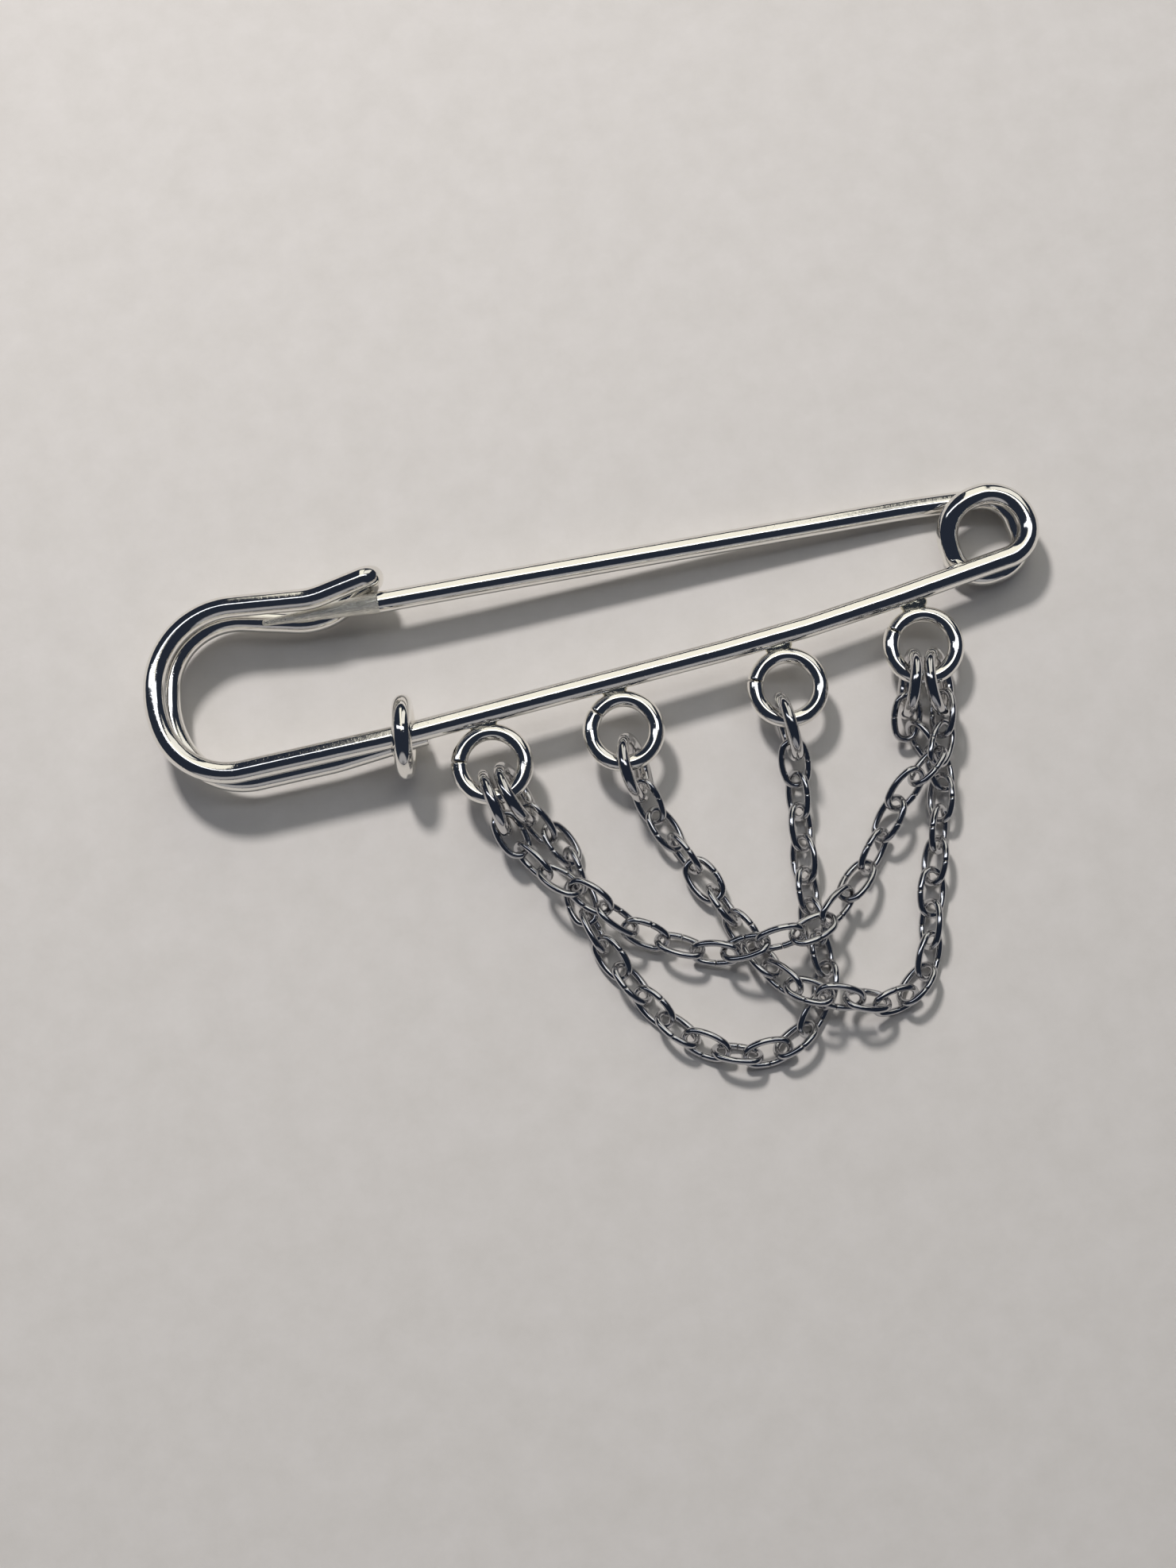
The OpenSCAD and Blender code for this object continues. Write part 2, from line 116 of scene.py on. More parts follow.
# Corners of the hook's lower and upper wire: shares of its length and width, the lift in wire
# diameters, and the bend radius as a share of its width. The wire is folded back at HOOK_END.
LOWER_HOOK = [
    (1.09, 0, 0, 0),
    (0.693, -0.045, 0, 0.84),
    (0.132, -0.05, -0.03, 0.49),
    (0.025, 0.375, -0.06, 0.67),
    (0.117, 0.99, -0.15, 0.40),
    (0.74, 0.785, -0.6, 0.40),
    (0.90, 0.87, -0.43, 0.15),
]
HOOK_END = (1.01, 0.945)
UPPER_HOOK = [
    (0.735, 0.88, 0.17, 0.41),
    (0.065, 0.99, 0.05, 0.47),
    (-0.012, 0.44, 0.05, 0.62),
    (0.05, -0.01, 0.02, 0.40),
]

# Loops, jump rings, solder and links. Seams and the dip are degrees.
LOOP_D = 6.7
LOOP_WIRE = 1.35
LOOP_AT = [26.4, 37.4, 51.3, 63.0]
LOOP_GAPS = [0, 0.1, 0.15, 0.4]
LOOP_SEAMS = [165, 135, 158, 142]
LOOP_DIP = 20
LOOP_SEAT = LOOP_WIRE * 0.46
JUMP_COUNT = 6
JUMP_D = 5.9
JUMP_WIRE = 1.0
JUMP_SEAM = 150
KEEPER_SEAM = 15
SOLDER_R = 0.7
SOLDER_SEAT = WIRE_R * 0.9
SOLDER_SPREAD = [(1.7, 0.8, 0.8), (1.5, 0.8, 0.8), (1.6, 0.85, 0.8), (1.6, 0.95, 0.85)]
SOLDER_LUMP_WIDTH = 0.8
SOLDER_LUMP_HEIGHT = 0.16
LINK_LEN = 4.3
LINK_W = 2.75
LINK_WIRE = 0.56
LINK_LONG_BEND = 3.6

# Saw cuts as they show, closed up but for a hairline, and the broken rims of their two ends.
LOOP_SAW = 0.07
JUMP_SAW = 0.05
LINK_SAW = 0.02
KEEPER_SAW = 0.02
LOOP_RIM = LOOP_WIRE * 0.09
JUMP_RIM = JUMP_WIRE * 0.12
LINK_RIM = LINK_WIRE * 0.12
KEEPER_RIM = 0.08

# How finely wire is drawn: sides round it, and steps in its bends, arcs and ground point.
SIDES = 32
DEGREES_PER_STEP = 4
RING_SIDES = 28
RING_STEPS = 108
LINK_SIDES = 16
LINK_END_STEPS = 16
LINK_SIDE_STEPS = 9
LINK_HALF_SIDE_STEPS = 5
POINT_STEPS = 40
POINT_WEAR = 0.03
TIP_ANGLES = (30, 60, 85)

# Points closer than this are one, in metres.
WELD = 1e-7

# The sheet of paper, and the lamp by its direction in the photograph as right, up and height.
PAPER_SIZE = 1200
LAMP_WAY = (-0.38, 0.80, 1.0)
LAMP_AWAY = 450
LAMP_SIZE = 60
LAMP_WATTS = 1.25
LAMP_COLOUR = "#FFFAF8"

# The parts of the room that the metal mirrors. Each has its colour, its strength and the bands of
# directions that it fills, as (axis, from, to, softness). No direction reaches as far as OPEN.
OPEN = 1.1
ROOM_PARTS = [
    # The dim room on all sides.
    ("#5F6C86", 0.16, [("height", -0.1, OPEN, 0.02)]),
    # The bright wall ahead.
    ("#FFFBEC", 1.0, [
        ("across", -0.047, 0.278, 0.015), ("ahead", 0.12, 1.2, 0.03),
        ("height", 0.26, OPEN, 0.04)]),
    # The bright corner far to the right.
    ("#FFFCF2", 0.9, [
        ("right", 0.165, 0.62, 0.02), ("up", 0.45, 0.88, 0.03), ("height", 0.2, OPEN, 0.04)]),
    # The long lamp.
    ("#F1F5FF", 2.0, [
        ("up", 0.19, 0.31, 0.02), ("right", -0.76, 0.50, 0.04), ("height", 0.1, OPEN, 0.02)]),
    # The pale strip low behind the viewer.
    ("#E9E6E6", 0.4, [("up", -0.99, -0.80, 0.05), ("height", 0.02, OPEN, 0.02)]),
]


def unit(v):
    return v.normalized()


def heading(angle):
    """The level direction at an angle from X, in degrees."""
    return Vector((math.cos(math.radians(angle)), math.sin(math.radians(angle)), 0))


def tan(angle):
    return math.tan(math.radians(angle))


# Lines of the pin and the corners where they cross, as the solids have them.
def side_foot(angle, off):
    """The place nearest the coil's centre on a line that passes it at a distance."""
    return COIL + off * heading(angle - 90)


def corner(a, off_a, b, off_b, z):
    """Where the line at angle a crosses the line at angle b, at a level."""
    along = (off_b - off_a * math.cos(math.radians(b - a))) / math.sin(math.radians(b - a))
    place = side_foot(a, off_a) + heading(a) * along
    return Vector((place.x, place.y, z))


# The pin's levels, and the places of its closed end, its bar's gentle bend and its keeper.
LOWER_Z = WIRE_R
UPPER_Z = LOWER_Z + WIRE_D + COIL_GAP
STACK = WIRE_D + WIRE_GAP
KEEPER_R = WIRE_D + WIRE_GAP / 2 + KEEPER_CLEAR + KEEPER_WIRE / 2
KEEPER_Z = KEEPER_R + KEEPER_WIRE / 2
FRONT_Z = KEEPER_Z + STACK / 2
BACK_Z = KEEPER_Z - STACK / 2
TIP_Z = FRONT_Z + HOOK_RISE
END_X = WIRE_R - PIN_LEN / 2
BAR_BEND = side_foot(BAR_TURN, BAR_OFF) - BAR_BEND_AT * heading(BAR_TURN)
KEEPER_X = END_X + HOOK_LEN
KEEPER_Y = BAR_BEND.y - (BAR_BEND.x - KEEPER_X) * tan(BAR_SLOPE)


def bar_at(x):
    """The bar's centre at a place along the pin."""
    if x < BAR_BEND.x:
        y = KEEPER_Y + (x - KEEPER_X) * tan(BAR_SLOPE)
    else:
        y = BAR_BEND.y + (x - BAR_BEND.x) * tan(BAR_TURN)
    half = BAR_BEND_R * tan((BAR_TURN - BAR_SLOPE) / 2)
    rounding = max(0, half - abs(x - BAR_BEND.x)) ** 2 / (2 * BAR_BEND_R)
    climb = (FRONT_Z - UPPER_Z) / (COIL.x - KEEPER_X)
    return Vector((x, y + rounding, FRONT_Z - climb * (x - KEEPER_X)))


def hook(share_x, share_y, lift, radius, z):
    """A corner of the hook by its shares, with its bend radius."""
    place = (END_X + share_x * HOOK_LEN, KEEPER_Y + share_y * HOOK_W, z + lift * WIRE_D)
    return Vector(place), radius * HOOK_W


def tongue_route():
    """Corners of the tongue from the coil to its ground point, and the way that the point looks."""
    first = side_foot(EXIT_TURN, TONGUE_OFF) + heading(EXIT_TURN) * TONGUE_START_RUN
    first.z = LOWER_Z + TONGUE_START_LIFT
    dip, _ = hook(*LOWER_HOOK[-1], BACK_Z)
    hook_end, _ = hook(*HOOK_END, 0, 0, 0)
    share = (END_X - WIRE_R + TIP_FROM_END + POINT_LEN - dip.x) / POINT_LEN
    point_r = WIRE_R + (TIP_D / 2 - WIRE_R) * share
    rest = Vector((dip.x, hook_end.y - TONGUE_IN, dip.z + WIRE_R + point_r + WIRE_GAP))
    level = unit(Vector((rest.x - first.x, rest.y - first.y, 0)))
    way = unit(level + Vector((0, 0, tan(TONGUE_CLIMB))))
    corners = [
        (first, LONG_BEND_R),
        (rest - way * TONGUE_REST_RUN, LONG_BEND_R),
        (rest - way * POINT_LEN * share, 0),
    ]
    return corners, way


def pin_route():
    """Corners of the pin's wire with their bend radii, from the doubled wire's end to the point."""
    fold = STACK / 2 / HOOK_W
    right, top, left = BAR_TURN + 90, BAR_TURN + 180, BAR_TURN + 270
    tongue_corners, point_way = tongue_route()
    hook_rows = [hook(*row, BACK_Z) for row in LOWER_HOOK]
    hook_rows += [hook(*HOOK_END, 0, fold, z) for z in (TIP_Z - STACK, TIP_Z)]
    hook_rows += [hook(*row, FRONT_Z) for row in UPPER_HOOK]
    bar_and_coil = [
        (Vector((KEEPER_X, KEEPER_Y, FRONT_Z)), LONG_BEND_R),
        (Vector((BAR_BEND.x, BAR_BEND.y, bar_at(BAR_BEND.x).z)), BAR_BEND_R),
        (corner(BAR_TURN, BAR_OFF, right, COIL_R, UPPER_Z), COIL_ENTRY_BEND),
        (corner(right, COIL_R, top, COIL_R, UPPER_Z), UPPER_TURN_BEND),
        (corner(top, COIL_R, left, COIL_R, UPPER_Z), UPPER_TURN_BEND),
        (corner(BAR_TURN, LOWER_R, left, COIL_R, LOWER_Z), LOWER_TURN_BEND),
        (corner(BAR_TURN, LOWER_R, right, LOWER_R, LOWER_Z), LOWER_TURN_BEND),
        (corner(right, LOWER_R, EXIT_TURN, TONGUE_OFF, LOWER_Z), LOWER_TURN_BEND),
    ]
    return hook_rows + bar_and_coil + tongue_corners, point_way


def eased_bends(rows):
    """Bends held to what fits between the corners, as (way in, way out, trim, radius, angle)."""
    last = len(rows) - 1
    ways = [unit(rows[i + 1][0] - rows[i][0]) for i in range(last)]
    spans = [(rows[i + 1][0] - rows[i][0]).length for i in range(last)]
    angles = [0] + [ways[i - 1].angle(ways[i]) for i in range(1, last)] + [0]
    full = [rows[i][1] * math.tan(angles[i] / 2) for i in range(last + 1)]
    room = [min(1, (spans[i] - BEND_GAP) / max(full[i] + full[i + 1], 1e-9)) for i in range(last)]
    bends = []
    for i in range(1, last):
        ease = min(room[i - 1], room[i])
        bends.append((ways[i - 1], ways[i], full[i] * ease, rows[i][1] * ease, angles[i]))
    return bends


# Small helpers for work in edit mode.
def start_piece(name, add, **settings):
    """Adds one primitive with nothing else selected, names it and leaves it in edit mode."""
    bpy.ops.object.select_all(action="DESELECT")
    add(**settings)
    piece = bpy.context.object
    piece.name = name
    piece.data.name = name
    bpy.ops.object.mode_set(mode="EDIT")
    bpy.ops.mesh.select_all(action="SELECT")
    return piece


def end_piece(piece, sharp=40):
    """Closes the piece: merged, normals outward, placed in its mesh and smooth."""
    bpy.ops.mesh.select_all(action="SELECT")
    bpy.ops.mesh.remove_doubles(threshold=WELD)
    bpy.ops.mesh.normals_make_consistent(inside=False)
    bpy.ops.object.mode_set(mode="OBJECT")
    bpy.ops.object.transform_apply(location=True, rotation=True, scale=True)
    bpy.ops.object.shade_smooth_by_angle(angle=math.radians(sharp))
    return piece


def facing(way):
    """Euler angles that turn a flat circle to face along a way."""
    return way.to_track_quat("Z", "Y").to_euler()


def mark_run(piece):
    """Gives each point its length along the wire and its turn round it, for the drawn finish."""
    mesh = piece.data
    count = len(mesh.vertices)
    co = np.zeros(count * 3)
    mesh.vertices.foreach_get("co", co)
    co = co.reshape(-1, 3)
    rings = count // SIDES
    centres = co[:rings * SIDES].reshape(rings, SIDES, 3).mean(axis=1)
    steps = np.linalg.norm(np.diff(centres, axis=0), axis=1)
    run = np.concatenate([[0], np.cumsum(steps)]) / MM
    values = np.zeros((count, 3))
    turn = 2 * math.pi * np.arange(SIDES) / SIDES
    values[:rings * SIDES, 0] = np.repeat(run, SIDES)
    values[:rings * SIDES, 1] = np.tile(np.cos(turn), rings)
    values[:rings * SIDES, 2] = np.tile(np.sin(turn), rings)
    attribute = mesh.attributes.new("wire_run", "FLOAT_VECTOR", "POINT")
    attribute.data.foreach_set("vector", values.ravel())


def bent_wire(name, start, bends, rows, stop):
    """The pin's wire from a start through bends to a stop: a circle drawn out and spun."""
    piece = start_piece(
        name, bpy.ops.mesh.primitive_circle_add, vertices=SIDES, radius=WIRE_R * MM,
        location=start * MM, rotation=facing(bends[0][0]))
    at = start
    for (way_in, way_out, trim, bend_r, angle), (place, _) in zip(bends, rows):
        begin = place - way_in * trim
        bpy.ops.mesh.extrude_region_move(
            TRANSFORM_OT_translate={"value": (begin - at) * MM})
        axis = unit(way_in.cross(way_out))
        centre = begin + axis.cross(way_in) * bend_r
        steps = max(2, round(math.degrees(angle) / DEGREES_PER_STEP))
        bpy.ops.mesh.spin(steps=steps, angle=-angle, center=centre * MM, axis=axis)
        at = place + way_out * trim
    if (stop - at).length > 1e-6:
        bpy.ops.mesh.extrude_region_move(TRANSFORM_OT_translate={"value": (stop - at) * MM})
    end_piece(piece)
    mark_run(piece)
    return piece


# Colours, nodes and finishes.
def srgb(code):
    """An sRGB hex colour as linear RGBA."""
    parts = [int(code[i:i + 2], 16) / 255 for i in (1, 3, 5)]
    return [p / 12.92 if p <= 0.04045 else ((p + 0.055) / 1.055) ** 2.4 for p in parts] + [1]


def add_node(tree, kind, inputs=None, **settings):
    """A node with its settings, and its inputs linked to sockets or set to values."""
    node = tree.nodes.new(kind)
    for key, value in settings.items():
        setattr(node, key, value)
    for key, value in (inputs or {}).items():
        if isinstance(value, bpy.types.NodeSocket):
            tree.links.new(value, node.inputs[key])
        else:
            node.inputs[key].default_value = value
    return node


def new_material(name):
    material = bpy.data.materials.new(name)
    material.use_nodes = True
    material.node_tree.nodes.clear()
    return material, material.node_tree


def finish_material(tree, shader):
    add_node(tree, "ShaderNodeOutputMaterial", {"Surface": shader.outputs["BSDF"]})


def plated_wire(name, colour, roughness, drawn, peel):
    """Electroplated drawn wire: a mirror whose streaks break up on the wire's drawing lines
    and on the plate's faint orange peel."""
    material, tree = new_material(name)
    place = add_node(tree, "ShaderNodeTexCoord")
    run = add_node(tree, "ShaderNodeAttribute", attribute_name="wire_run")
    # Drawing lines lie along the wire, about 0.1 mm apart round it and 2 mm long.
    lines_at = add_node(tree, "ShaderNodeMapping", {
        "Vector": run.outputs["Vector"], "Scale": (0.25, 4.0, 4.0)})
    lines = add_node(tree, "ShaderNodeTexNoise", {
        "Vector": lines_at.outputs["Vector"], "Scale": 2.2, "Detail": 4.0, "Roughness": 0.6})
    # Orange peel of the plate, drawn at 0.45 mm so that it shows.
    skin = add_node(tree, "ShaderNodeTexNoise", {
        "Vector": place.outputs["Object"], "Scale": 1 / (0.45 * MM), "Detail": 3.0,
        "Roughness": 0.55})
    # Pits of the plating, 0.3 mm apart.
    pits = add_node(tree, "ShaderNodeTexVoronoi", {
        "Vector": place.outputs["Object"], "Scale": 1 / (0.3 * MM)}, feature="F1")
    pit_depth = add_node(tree, "ShaderNodeMapRange", {
        "Value": pits.outputs["Distance"], "From Min": 0.05, "From Max": 0.2,
        "To Min": 0.0, "To Max": 1.0})
    bump_peel = add_node(tree, "ShaderNodeBump", {
        "Strength": peel, "Distance": 0.02 * MM, "Height": skin.outputs["Fac"]})
    bump_lines = add_node(tree, "ShaderNodeBump", {
        "Strength": drawn, "Distance": 0.01 * MM, "Height": lines.outputs["Fac"],
        "Normal": bump_peel.outputs["Normal"]})
    bump_pits = add_node(tree, "ShaderNodeBump", {
        "Strength": 0.2, "Distance": 0.01 * MM, "Height": pit_depth.outputs["Result"],
        "Normal": bump_lines.outputs["Normal"]})
    rough = add_node(tree, "ShaderNodeMapRange", {
        "Value": skin.outputs["Fac"], "From Min": 0.3, "From Max": 0.7,
        "To Min": roughness * 0.7, "To Max": roughness * 1.4})
    shader = add_node(tree, "ShaderNodeBsdfPrincipled", {
        "Base Color": srgb(colour), "Metallic": 1.0, "Roughness": rough.outputs["Result"],
        "Normal": bump_pits.outputs["Normal"]})
    finish_material(tree, shader)
    return material


def ground_point_steel():
    """The tongue's point, ground by hand on a coarse wheel and plated: long bright scratches."""
    material, tree = new_material("ground_plated_point")
    place = add_node(tree, "ShaderNodeTexCoord")
    # Grinding marks: 0.12 mm apart across the point and 1.5 mm long.
    marks_at = add_node(tree, "ShaderNodeMapping", {
        "Vector": place.outputs["Object"], "Rotation": (0, 0, math.radians(-8)),
        "Scale": (1 / 1.5, 1 / 0.12, 1 / 0.3)})
    marks = add_node(tree, "ShaderNodeTexNoise", {
        "Vector": marks_at.outputs["Vector"], "Scale": 1 / MM, "Detail": 5.0, "Roughness": 0.75,
        "Distortion": 0.8})
    lumps = add_node(tree, "ShaderNodeTexNoise", {
        "Vector": place.outputs["Object"], "Scale": 1 / (0.5 * MM), "Detail": 4.0})
    bump_lumps = add_node(tree, "ShaderNodeBump", {
        "Strength": 0.8, "Distance": 0.12 * MM, "Height": lumps.outputs["Fac"]})
    bump = add_node(tree, "ShaderNodeBump", {
        "Strength": 0.9, "Distance": 0.1 * MM, "Height": marks.outputs["Fac"],
        "Normal": bump_lumps.outputs["Normal"]})
    shader = add_node(tree, "ShaderNodeBsdfPrincipled", {
        "Base Color": srgb("#F6F4EA"), "Metallic": 1.0, "Roughness": 0.2,
        "Normal": bump.outputs["Normal"]})
    finish_material(tree, shader)
    return material


def soft_solder():
    """Tin solder, plated over: warm bright metal that flowed and froze in small lumps."""
    material, tree = new_material("plated_soft_solder")
    place = add_node(tree, "ShaderNodeTexCoord")
    lumps = add_node(tree, "ShaderNodeTexNoise", {
        "Vector": place.outputs["Object"], "Scale": 1 / (0.25 * MM), "Detail": 4.0,
        "Roughness": 0.6})
    bump = add_node(tree, "ShaderNodeBump", {
        "Strength": 0.6, "Distance": 0.06 * MM, "Height": lumps.outputs["Fac"]})
    shader = add_node(tree, "ShaderNodeBsdfPrincipled", {
        "Base Color": srgb("#EFEBD6"), "Metallic": 1.0, "Roughness": 0.18,
        "Normal": bump.outputs["Normal"]})
    finish_material(tree, shader)
    return material


def copier_paper():
    """Uncoated white office paper: matt, with fine mottling and fibre tooth."""
    material, tree = new_material("uncoated_paper")
    place = add_node(tree, "ShaderNodeTexCoord")
    # Formation mottle of the sheet, clouds of a few millimetres.
    clouds = add_node(tree, "ShaderNodeTexNoise", {
        "Vector": place.outputs["Object"], "Scale": 1 / (3.5 * MM), "Detail": 6.0,
        "Roughness": 0.65})
    tint = add_node(tree, "ShaderNodeMapRange", {
        "Value": clouds.outputs["Fac"], "From Min": 0.3, "From Max": 0.7})
    colour = add_node(tree, "ShaderNodeMix", {
        "Factor": tint.outputs["Result"], "A": srgb("#E3E0DB"), "B": srgb("#EAE7E3")},
        data_type="RGBA")
    # Tooth of the fibres, drawn at 0.4 mm.
    tooth = add_node(tree, "ShaderNodeTexNoise", {
        "Vector": place.outputs["Object"], "Scale": 1 / (0.4 * MM), "Detail": 3.0})
    bump = add_node(tree, "ShaderNodeBump", {
        "Strength": 0.25, "Distance": 0.03 * MM, "Height": tooth.outputs["Fac"]})
    shader = add_node(tree, "ShaderNodeBsdfPrincipled", {
        "Base Color": colour.outputs["Result"], "Roughness": 0.85, "Specular IOR Level": 0.3,
        "Normal": bump.outputs["Normal"]})
    finish_material(tree, shader)
    return material


silver_plate = plated_wire("bright_silver_plated_wire", "#F1EFEA", 0.06, 0.22, 0.22)
rhodium_plate = plated_wire("bright_rhodium_plated_wire", "#D2D1D1", 0.08, 0.0, 0.22)
chain_plate = plated_wire("bright_rhodium_plated_chain", "#C2C2C4", 0.09, 0.0, 0.16)
point_finish = ground_point_steel()
solder_finish = soft_solder()


def dress(piece, material, body, node):
    """Gives a piece its finish, the body it moves with and the node it stands for."""
    piece.data.materials.clear()
    piece.data.materials.append(material)
    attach(piece, body)
    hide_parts(node)


# The pin's wire in three pieces: bar and hook, the coil's turn, and the tongue. The
# second and third start after these bends of the route.
COIL_FROM = 17
TONGUE_FROM = 20
pin_rows, TONGUE_WAY = pin_route()
pin_bends = eased_bends(pin_rows)


def between_bends(i):
    """The middle of the straight after bend i of the route."""
    _, way_out, trim_out, _, _ = pin_bends[i - 1]
    way_in, _, trim_in, _, _ = pin_bends[i]
    return (pin_rows[i][0] + way_out * trim_out + pin_rows[i + 1][0] - way_in * trim_in) / 2


def pin_stretch(name, first, last):
    """The pin's wire from the straight after one bend, or its start, to that after another."""
    start = between_bends(first) if first else pin_rows[0][0]
    stop = between_bends(last) if last < len(pin_bends) else pin_rows[-1][0]
    return bent_wire(name, start, pin_bends[first:last], pin_rows[first + 1:last + 1], stop)


def draw_on(move, at, now, last):
    """One more step of the point: drawn out along the tongue and pressed to its new half widths."""
    bpy.ops.mesh.extrude_region_move(TRANSFORM_OT_translate={"value": TONGUE_WAY * move * MM})
    bpy.ops.transform.resize(
        value=[a / b for a, b in zip(now, last)], center_override=at * MM)


def make_point():
    """The ground point: drawn out in short steps that grow thinner, no two ground quite alike."""
    at = pin_rows[-1][0]
    piece = start_piece(
        "ground_point", bpy.ops.mesh.primitive_circle_add, vertices=SIDES, radius=WIRE_R * MM,
        location=at * MM, rotation=facing(TONGUE_WAY))
    step = (POINT_LEN - TIP_D / 2) / POINT_STEPS
    last = Vector((1, 1, 1)) * WIRE_R
    for i in range(1, POINT_STEPS + 1):
        at = at + TONGUE_WAY * step
        r = WIRE_R + (TIP_D / 2 - WIRE_R) * i / POINT_STEPS
        wear = POINT_WEAR if 2 < i < POINT_STEPS else 0
        now = Vector([r * (1 - wear * rng.random()) for _ in range(3)])
        draw_on(step, at, now, last)
        last = now
    for angle in TIP_ANGLES:
        before = math.radians(max(0, angle - TIP_ANGLES[0]))
        move = TIP_D / 2 * (math.sin(math.radians(angle)) - math.sin(before))
        at = at + TONGUE_WAY * move
        now = Vector((1, 1, 1)) * TIP_D / 2 * math.cos(math.radians(angle))
        draw_on(move, at, now, last)
        last = now
    bpy.ops.mesh.edge_face_add()
    return end_piece(piece)


def spin_arc(centre, axis, angle, steps):
    """Draws the selected outline round an axis, counter-clockwise, in degrees."""
    bpy.ops.mesh.spin(
        steps=steps, angle=-math.radians(angle), center=centre * MM, axis=axis)


def break_ends(sides, bevel):
    """Rounds the rims of the two cut ends of a sawn wire."""
    bpy.ops.mesh.select_all(action="DESELECT")
    bpy.ops.mesh.select_mode(type="FACE")
    bpy.ops.mesh.select_face_by_sides(number=sides, type="EQUAL")
    bpy.ops.mesh.region_to_loop()
    bpy.ops.mesh.bevel(offset=bevel * MM, segments=2, affect="EDGES")
    bpy.ops.mesh.select_mode(type="VERT")


def make_ring(name, centre, flat, outer_d, wire_d, seam, saw, bevel):
    """A ring of round wire in the plane of a matrix, sawn through at its seam and closed again,
    with the rims of both cut ends broken."""
    ring_r = (outer_d - wire_d) / 2
    half = math.degrees(saw / 2 / ring_r)
    start = flat @ heading(seam + half)
    axis = flat @ Vector((0, 0, 1))
    piece = start_piece(
        name, bpy.ops.mesh.primitive_circle_add, vertices=RING_SIDES, radius=wire_d / 2 * MM,
        location=(centre + start * ring_r) * MM, rotation=facing(axis.cross(start)),
        fill_type="NGON")
    spin_arc(centre, axis, 360 - 2 * half, RING_STEPS)
    break_ends(RING_SIDES, bevel)
    return end_piece(piece)


def make_link():
    """One oval link, bent in five arcs from the butt joint in the middle of a long side."""
    half = (LINK_LEN - LINK_WIRE) / 2
    side = (LINK_W - LINK_WIRE) / 2
    long_r = side * LINK_LONG_BEND
    end_r = (half ** 2 + side ** 2 - 2 * long_r * side) / (2 * (half - long_r))
    turn = math.degrees(math.atan2(long_r - side, half - end_r))
    joint = math.degrees(LINK_SAW / 2 / long_r)
    up = Vector((0, 0, 1))
    start = heading(90 + joint)
    side_centre = Vector((0, long_r - side, 0))
    end_centre = Vector((half - end_r, 0, 0))
    piece = start_piece(
        "link", bpy.ops.mesh.primitive_circle_add, vertices=LINK_SIDES, radius=LINK_WIRE / 2 * MM,
        location=(start * long_r - side_centre) * MM, rotation=facing(up.cross(start)),
        fill_type="NGON")
    spin_arc(-side_centre, up, 90 - turn - joint, LINK_HALF_SIDE_STEPS)
    spin_arc(-end_centre, up, 2 * turn, LINK_END_STEPS)
    spin_arc(side_centre, up, 180 - 2 * turn, LINK_SIDE_STEPS)
    spin_arc(end_centre, up, 2 * turn, LINK_END_STEPS)
    spin_arc(-side_centre, up, 90 - turn - joint, LINK_HALF_SIDE_STEPS)
    break_ends(LINK_SIDES, LINK_RIM)
    return end_piece(piece)


def loose_solids(node):
    """The triangles of each loose solid of a CAD node, from a merged copy of its mesh."""
    bpy.ops.object.select_all(action="DESELECT")
    copy = frame["nodes"][node].copy()
    copy.data = copy.data.copy()
    bpy.context.scene.collection.objects.link(copy)
    copy.select_set(True)
    bpy.context.view_layer.objects.active = copy
    bpy.ops.object.mode_set(mode="EDIT")
    bpy.ops.mesh.select_all(action="SELECT")
    bpy.ops.mesh.remove_doubles(threshold=WELD)
    bpy.ops.mesh.quads_convert_to_tris()
    bpy.ops.mesh.separate(type="LOOSE")
    bpy.ops.object.mode_set(mode="OBJECT")
    solids = []
    for part in list(bpy.context.selected_objects):
        places = np.array([v.co for v in part.data.vertices]) / MM
        corners = np.array([list(face.vertices) for face in part.data.polygons])
        solids.append(places[corners])
        bpy.data.objects.remove(part)
    return solids


def axes_of(triangles):
    """Centre of a solid's surface and its long, wide and thin axes, each place by its area."""
    a, b, c = triangles[:, 0], triangles[:, 1], triangles[:, 2]
    areas = np.linalg.norm(np.cross(b - a, c - a), axis=1) / 2
    total = areas.sum()
    centre = ((a + b + c) / 3 * areas[:, None]).sum(axis=0) / total
    a, b, c = a - centre, b - centre, c - centre
    spread = sum(
        np.einsum("i,ij,ik->jk", areas / 12, v, v) for v in (a, b, c, a + b + c)) / total
    _, vectors = np.linalg.eigh(spread)
    return Vector(centre), Vector(vectors[:, 2]), Vector(vectors[:, 1]), Vector(vectors[:, 0])


def frame_of(x, y, z):
    """A turn that carries the X, Y and Z axes to three given ones."""
    return Matrix((x, y, z)).transposed()


def place_jump_ring(name):
    """A jump ring where the frame has it, its seam counted from its level way to the chains."""
    centre, _, _, normal = axes_of(loose_solids(name)[0])
    out = unit(Vector((-normal.y, normal.x, 0)))
    if out.y > 0:
        out, normal = -out, -normal
    piece = make_ring(
        name + "_wire", centre, frame_of(out, normal.cross(out), normal), JUMP_D, JUMP_WIRE,
        JUMP_SEAM, JUMP_SAW, JUMP_RIM)
    dress(piece, rhodium_plate, "brooch", name)


